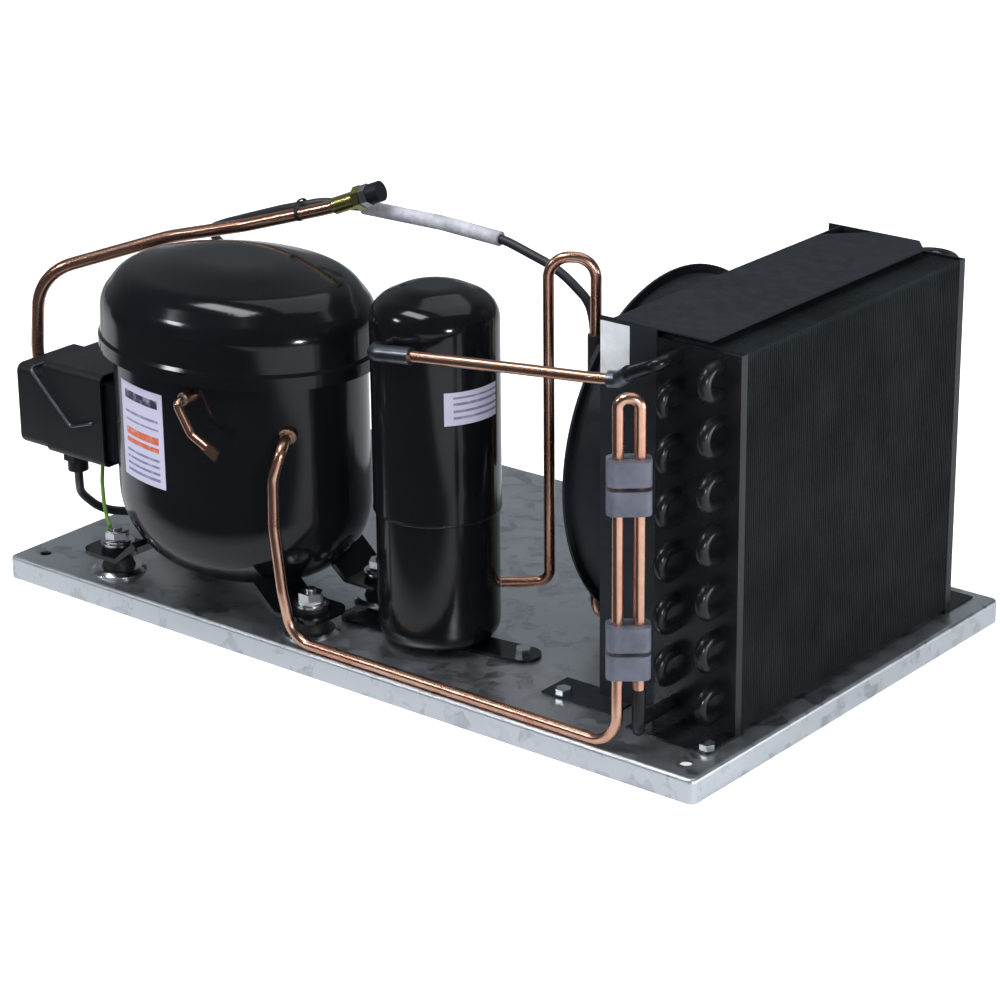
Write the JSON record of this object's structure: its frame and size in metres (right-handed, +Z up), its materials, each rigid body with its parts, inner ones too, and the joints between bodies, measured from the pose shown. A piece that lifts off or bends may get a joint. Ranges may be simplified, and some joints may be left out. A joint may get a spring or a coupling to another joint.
{
  "type": "refrigeration condensing unit",
  "caption": "Air-cooled refrigeration condensing unit: hermetic compressor, liquid receiver, finned condenser, shrouded axial fan and copper lines on a galvanised steel base.",
  "frame": {"origin": "centre of the base's outline, on the plane that its flanges stand on", "axes": "+X from the compressor to the condenser, along the base's long side; +Y from the pipe side to the back; +Z up"},
  "size_m": [0.681, 0.4169, 0.3216],
  "materials": {
    "galvanised": "satin",
    "black_enamel": "gloss",
    "shroud_paint": "satin",
    "coil_paint": "satin",
    "copper": "satin",
    "brass": "satin",
    "zinc": "polished",
    "grey_steel": "satin",
    "rubber": "matt",
    "clamp_rubber": "matt",
    "cable_jacket": "satin",
    "white_sleeve": "matt",
    "black_plastic": "satin",
    "core_steel": "matt",
    "iron": "matt",
    "aluminium": "satin",
    "label": "satin",
    "earth": "satin",
    "ceramic": "gloss"
  },
  "bodies": {
    "frame": {"base_plate": "galvanised", "compressor_lower_shell": "black_enamel", "compressor_upper_shell": "black_enamel", "compressor_feet": "black_enamel", "motor_stator": "core_steel", "cylinder_block": "iron", "piston": "core_steel", "foot_grommets": "rubber", "foot_washers": "zinc", "foot_sleeves": "zinc", "foot_studs": "zinc", "foot_nuts": "zinc", "terminal_fence": "black_enamel", "hermetic_terminal": "ceramic", "start_relay": "black_plastic", "overload_protector": "black_plastic", "terminal_box": "black_plastic", "terminal_cover": "black_plastic", "cable_gland": "black_plastic", "earth_wire": "earth", "earth_terminal": "zinc", "compressor_label": "label", "shell_stubs": "copper", "process_tube": "copper", "discharge_line": "copper", "riser_clamps": "clamp_rubber", "coil_inlet_stub": "coil_paint", "coil_outlet_stub": "coil_paint", "line_elbow": "grey_steel", "receiver_inlet_line": "copper", "receiver_lower_shell": "black_enamel", "receiver_upper_shell": "black_enamel", "receiver_foot": "black_enamel", "receiver_label": "label", "liquid_line": "copper", "liquid_sleeve": "rubber", "liquid_fitting": "brass", "suction_line": "copper", "service_valve_body": "brass", "service_valve_nut": "zinc", "service_valve_cap": "black_plastic", "condenser_fins": "coil_paint", "condenser_tubes": "coil_paint", "return_bends": "coil_paint", "crossover_bends": "coil_paint", "end_plate_front": "coil_paint", "end_plate_rear": "coil_paint", "fan_shroud": "shroud_paint", "fan_motor": "shroud_paint", "motor_bracket": "shroud_paint", "fan_lead": "cable_jacket", "frame_bolts": "zinc", "fan_ring": "shroud_paint", "lead_sleeve": "white_sleeve"},
    "rotor": {"motor_rotor": "core_steel", "crankshaft": "iron"},
    "fan": {"motor_shaft": "zinc", "fan_hub": "zinc", "fan_blades": "aluminium"},
    "bail": {"cover_bail": "grey_steel"}
  },
  "joints": [
    {"name": "rotor_spin", "type": "hinge", "parent": "frame", "child": "rotor", "pos_m": [-0.137, -0.125, 0.1], "axis": [0, 0, 1], "continuous": true},
    {"name": "fan_spin", "type": "hinge", "parent": "frame", "child": "fan", "pos_m": [0.176, 0.015, 0.156], "axis": [1, 0, 0], "continuous": true},
    {"name": "bail_swing", "type": "hinge", "parent": "frame", "child": "bail", "pos_m": [-0.259, -0.125, 0.131], "axis": [0, 1, 0], "range_deg": [0, 40]}
  ]
}
